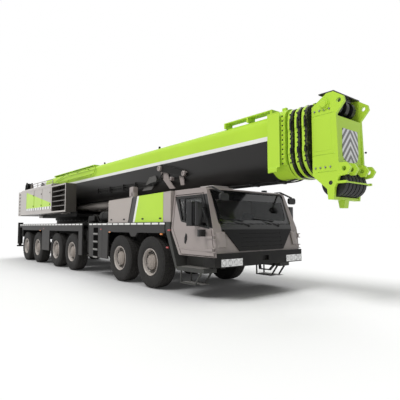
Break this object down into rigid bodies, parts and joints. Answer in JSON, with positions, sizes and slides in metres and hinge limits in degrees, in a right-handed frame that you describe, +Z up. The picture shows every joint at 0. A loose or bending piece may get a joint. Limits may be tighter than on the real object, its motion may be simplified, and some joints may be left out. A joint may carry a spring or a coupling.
{
  "type": "mobile crane",
  "caption": "All-terrain mobile crane: steered carrier with cab, outriggers, slewing superstructure and luffing telescopic boom with a pierced head, in travel position.",
  "frame": {"origin": "on the ground, under the middle of the vehicle's outline", "axes": "+X points forwards along the vehicle, +Y to its left, +Z up"},
  "size_m": [17.808, 3.37, 4.13],
  "materials": {
    "black_paint": "satin black paint",
    "black_plastic": "grained black moulding",
    "bright_steel": "hard-chromed rod",
    "cast_metal": "painted casting",
    "dark_paint": "satin dark grey chassis paint",
    "lamp_lens": "clear ribbed lens",
    "lime_paint": "gloss lime green machine paint",
    "seat_fabric": "dark trim",
    "taupe_paint": "satin warm grey machine paint",
    "tyre_rubber": "road-worn tyre rubber",
    "window_glass": "tinted safety glass"
  },
  "bodies": {
    "carrier": {"chassis_frame": "dark_paint", "carrier_deck": "dark_paint", "axle_housings": "cast_metal", "carrier_cab": "taupe_paint", "cab_glass": "window_glass", "cab_interior": "seat_fabric", "front_bumper": "black_paint", "front_grille": "black_plastic", "lamps": "lamp_lens", "mirrors": "black_plastic", "engine_housing": "taupe_paint", "engine_block": "cast_metal", "outrigger_boxes": "dark_paint", "access_steps": "black_paint"},
    "door_right": {"cab_door_right": "taupe_paint"},
    "door_left": {"cab_door_left": "taupe_paint"},
    "wheel_1_right": {"wheel_1_right": "tyre_rubber"},
    "knuckle_1_right": {"knuckle_1_right": "cast_metal"},
    "wheel_1_left": {"wheel_1_left": "tyre_rubber"},
    "knuckle_1_left": {"knuckle_1_left": "cast_metal"},
    "wheel_2_right": {"wheel_2_right": "tyre_rubber"},
    "knuckle_2_right": {"knuckle_2_right": "cast_metal"},
    "wheel_2_left": {"wheel_2_left": "tyre_rubber"},
    "knuckle_2_left": {"knuckle_2_left": "cast_metal"},
    "wheel_3_right": {"wheel_3_right": "tyre_rubber"},
    "knuckle_3_right": {"knuckle_3_right": "cast_metal"},
    "wheel_3_left": {"wheel_3_left": "tyre_rubber"},
    "knuckle_3_left": {"knuckle_3_left": "cast_metal"},
    "wheel_4_right": {"wheel_4_right": "tyre_rubber"},
    "wheel_4_left": {"wheel_4_left": "tyre_rubber"},
    "wheel_5_right": {"wheel_5_right": "tyre_rubber"},
    "knuckle_5_right": {"knuckle_5_right": "cast_metal"},
    "wheel_5_left": {"wheel_5_left": "tyre_rubber"},
    "knuckle_5_left": {"knuckle_5_left": "cast_metal"},
    "wheel_6_right": {"wheel_6_right": "tyre_rubber"},
    "knuckle_6_right": {"knuckle_6_right": "cast_metal"},
    "wheel_6_left": {"wheel_6_left": "tyre_rubber"},
    "knuckle_6_left": {"knuckle_6_left": "cast_metal"},
    "outrigger_beam_front_right": {"outrigger_beam_front_right": "dark_paint"},
    "outrigger_jack_front_right": {"outrigger_jack_front_right": "bright_steel"},
    "outrigger_beam_front_left": {"outrigger_beam_front_left": "dark_paint"},
    "outrigger_jack_front_left": {"outrigger_jack_front_left": "bright_steel"},
    "outrigger_beam_rear_right": {"outrigger_beam_rear_right": "dark_paint"},
    "outrigger_jack_rear_right": {"outrigger_jack_rear_right": "bright_steel"},
    "outrigger_beam_rear_left": {"outrigger_beam_rear_left": "dark_paint"},
    "outrigger_jack_rear_left": {"outrigger_jack_rear_left": "bright_steel"},
    "superstructure": {"turntable": "taupe_paint", "machinery_housing": "taupe_paint", "counterweight": "taupe_paint", "crane_cab": "taupe_paint"},
    "crane_cab_door": {"crane_cab_door": "taupe_paint"},
    "winch": {"winch_drum": "black_paint"},
    "boom": {"boom_base": "lime_paint"},
    "boom_1": {"boom_tele_1": "lime_paint"},
    "boom_2": {"boom_tele_2": "lime_paint"},
    "boom_3": {"boom_tele_3": "lime_paint"},
    "boom_4": {"boom_tele_4": "lime_paint"},
    "head_sheaves": {"head_sheaves": "black_plastic"},
    "ram_barrel": {"ram_barrel": "taupe_paint"},
    "ram_rod": {"ram_rod": "bright_steel"}
  },
  "joints": [
    {"name": "steer_1_right", "type": "hinge", "parent": "carrier", "child": "knuckle_1_right", "pos_m": [3.85, -0.975, 0.67], "axis": [0, 0, 1], "range_deg": [-34.5, 34.5]},
    {"name": "spin_1_right", "type": "hinge", "parent": "knuckle_1_right", "child": "wheel_1_right", "pos_m": [3.85, -1.268, 0.67], "axis": [0, 1, 0], "continuous": true},
    {"name": "steer_1_left", "type": "hinge", "parent": "carrier", "child": "knuckle_1_left", "pos_m": [3.85, 0.975, 0.67], "axis": [0, 0, 1], "range_deg": [-34, 34]},
    {"name": "spin_1_left", "type": "hinge", "parent": "knuckle_1_left", "child": "wheel_1_left", "pos_m": [3.85, 1.268, 0.67], "axis": [0, 1, 0], "continuous": true},
    {"name": "steer_2_right", "type": "hinge", "parent": "carrier", "child": "knuckle_2_right", "pos_m": [2.2, -0.975, 0.67], "axis": [0, 0, 1], "range_deg": [-27.7, 27.7]},
    {"name": "spin_2_right", "type": "hinge", "parent": "knuckle_2_right", "child": "wheel_2_right", "pos_m": [2.2, -1.268, 0.67], "axis": [0, 1, 0], "continuous": true},
    {"name": "steer_2_left", "type": "hinge", "parent": "carrier", "child": "knuckle_2_left", "pos_m": [2.2, 0.975, 0.67], "axis": [0, 0, 1], "range_deg": [-27.7, 27.7]},
    {"name": "spin_2_left", "type": "hinge", "parent": "knuckle_2_left", "child": "wheel_2_left", "pos_m": [2.2, 1.268, 0.67], "axis": [0, 1, 0], "continuous": true},
    {"name": "steer_3_right", "type": "hinge", "parent": "carrier", "child": "knuckle_3_right", "pos_m": [-1.5, -0.975, 0.67], "axis": [0, 0, 1], "range_deg": [-17.5, 17.5]},
    {"name": "spin_3_right", "type": "hinge", "parent": "knuckle_3_right", "child": "wheel_3_right", "pos_m": [-1.5, -1.268, 0.67], "axis": [0, 1, 0], "continuous": true},
    {"name": "steer_3_left", "type": "hinge", "parent": "carrier", "child": "knuckle_3_left", "pos_m": [-1.5, 0.975, 0.67], "axis": [0, 0, 1], "range_deg": [-17.5, 17.5]},
    {"name": "spin_3_left", "type": "hinge", "parent": "knuckle_3_left", "child": "wheel_3_left", "pos_m": [-1.5, 1.268, 0.67], "axis": [0, 1, 0], "continuous": true},
    {"name": "spin_4_right", "type": "hinge", "parent": "carrier", "child": "wheel_4_right", "pos_m": [-3.15, -1.268, 0.67], "axis": [0, 1, 0], "continuous": true},
    {"name": "spin_4_left", "type": "hinge", "parent": "carrier", "child": "wheel_4_left", "pos_m": [-3.15, 1.268, 0.67], "axis": [0, 1, 0], "continuous": true},
    {"name": "steer_5_right", "type": "hinge", "parent": "carrier", "child": "knuckle_5_right", "pos_m": [-5.5, -0.975, 0.67], "axis": [0, 0, 1], "range_deg": [-19.2, 19.2]},
    {"name": "spin_5_right", "type": "hinge", "parent": "knuckle_5_right", "child": "wheel_5_right", "pos_m": [-5.5, -1.268, 0.67], "axis": [0, 1, 0], "continuous": true},
    {"name": "steer_5_left", "type": "hinge", "parent": "carrier", "child": "knuckle_5_left", "pos_m": [-5.5, 0.975, 0.67], "axis": [0, 0, 1], "range_deg": [-19.2, 19.2]},
    {"name": "spin_5_left", "type": "hinge", "parent": "knuckle_5_left", "child": "wheel_5_left", "pos_m": [-5.5, 1.268, 0.67], "axis": [0, 1, 0], "continuous": true},
    {"name": "steer_6_right", "type": "hinge", "parent": "carrier", "child": "knuckle_6_right", "pos_m": [-7.15, -0.975, 0.67], "axis": [0, 0, 1], "range_deg": [-29.4, 29.4]},
    {"name": "spin_6_right", "type": "hinge", "parent": "knuckle_6_right", "child": "wheel_6_right", "pos_m": [-7.15, -1.268, 0.67], "axis": [0, 1, 0], "continuous": true},
    {"name": "steer_6_left", "type": "hinge", "parent": "carrier", "child": "knuckle_6_left", "pos_m": [-7.15, 0.975, 0.67], "axis": [0, 0, 1], "range_deg": [-29.4, 29.4]},
    {"name": "spin_6_left", "type": "hinge", "parent": "knuckle_6_left", "child": "wheel_6_left", "pos_m": [-7.15, 1.268, 0.67], "axis": [0, 1, 0], "continuous": true},
    {"name": "extend_front_right", "type": "slide", "parent": "carrier", "child": "outrigger_beam_front_right", "axis": [0, -1, 0], "range_m": [0, 2.15]},
    {"name": "jack_front_right", "type": "slide", "parent": "outrigger_beam_front_right", "child": "outrigger_jack_front_right", "axis": [0, 0, -1], "range_m": [0, 0.7]},
    {"name": "extend_front_left", "type": "slide", "parent": "carrier", "child": "outrigger_beam_front_left", "axis": [0, 1, 0], "range_m": [0, 2.15]},
    {"name": "jack_front_left", "type": "slide", "parent": "outrigger_beam_front_left", "child": "outrigger_jack_front_left", "axis": [0, 0, -1], "range_m": [0, 0.7]},
    {"name": "extend_rear_right", "type": "slide", "parent": "carrier", "child": "outrigger_beam_rear_right", "axis": [0, -1, 0], "range_m": [0, 2.15]},
    {"name": "jack_rear_right", "type": "slide", "parent": "outrigger_beam_rear_right", "child": "outrigger_jack_rear_right", "axis": [0, 0, -1], "range_m": [0, 0.7]},
    {"name": "extend_rear_left", "type": "slide", "parent": "carrier", "child": "outrigger_beam_rear_left", "axis": [0, 1, 0], "range_m": [0, 2.15]},
    {"name": "jack_rear_left", "type": "slide", "parent": "outrigger_beam_rear_left", "child": "outrigger_jack_rear_left", "axis": [0, 0, -1], "range_m": [0, 0.7]},
    {"name": "door_right", "type": "hinge", "parent": "carrier", "child": "door_right", "pos_m": [6.332, -1.47, 1.2], "axis": [0, 0, 1], "range_deg": [0, 70]},
    {"name": "door_left", "type": "hinge", "parent": "carrier", "child": "door_left", "pos_m": [6.332, 1.47, 1.2], "axis": [0, 0, -1], "range_deg": [0, 70]},
    {"name": "slew", "type": "hinge", "parent": "carrier", "child": "superstructure", "pos_m": [-4.5, 0, 1.868], "axis": [0, 0, 1], "continuous": true},
    {"name": "crane_cab_door", "type": "slide", "parent": "superstructure", "child": "crane_cab_door", "axis": [-1, 0, 0], "range_m": [0, 0.7]},
    {"name": "winch", "type": "hinge", "parent": "superstructure", "child": "winch", "pos_m": [-8.6, 0, 3.65], "axis": [0, 1, 0], "continuous": true},
    {"name": "luff", "type": "hinge", "parent": "superstructure", "child": "boom", "pos_m": [-7.15, 0, 3.3], "axis": [0, -1, 0], "range_deg": [0, 82]},
    {"name": "telescope_1", "type": "slide", "parent": "boom", "child": "boom_1", "axis": [1, 0, 0], "range_m": [0, 11]},
    {"name": "telescope_2", "type": "slide", "parent": "boom_1", "child": "boom_2", "axis": [1, 0, 0], "range_m": [0, 11]},
    {"name": "telescope_3", "type": "slide", "parent": "boom_2", "child": "boom_3", "axis": [1, 0, 0], "range_m": [0, 11]},
    {"name": "telescope_4", "type": "slide", "parent": "boom_3", "child": "boom_4", "axis": [1, 0, 0], "range_m": [0, 11]},
    {"name": "head_sheaves", "type": "hinge", "parent": "boom_4", "child": "head_sheaves", "pos_m": [8.5, 0, 2.4], "axis": [0, 1, 0], "continuous": true},
    {"name": "ram_pivot", "type": "hinge", "parent": "superstructure", "child": "ram_barrel", "pos_m": [-4.85, 0, 2.43], "axis": [0, -1, 0], "range_deg": [0, 92.46]},
    {"name": "ram_stroke", "type": "slide", "parent": "ram_barrel", "child": "ram_rod", "axis": [1, 0, 0.0009], "range_m": [0, 2.986]}
  ],
  "couplings": [
    {"joint": "steer_1_right", "follows": "steer_1_left", "ratio": 1},
    {"joint": "steer_2_right", "follows": "steer_1_left", "ratio": 0.8},
    {"joint": "steer_2_left", "follows": "steer_1_left", "ratio": 0.8},
    {"joint": "steer_3_right", "follows": "steer_1_left", "ratio": 0.5},
    {"joint": "steer_3_left", "follows": "steer_1_left", "ratio": 0.5},
    {"joint": "steer_5_right", "follows": "steer_1_left", "ratio": -0.55},
    {"joint": "steer_5_left", "follows": "steer_1_left", "ratio": -0.55},
    {"joint": "steer_6_right", "follows": "steer_1_left", "ratio": -0.85},
    {"joint": "steer_6_left", "follows": "steer_1_left", "ratio": -0.85},
    {"joint": "ram_pivot", "follows": "luff", "ratio": 1.1214},
    {"joint": "ram_stroke", "follows": "luff", "m_per_rad": 2.0792}
  ]
}
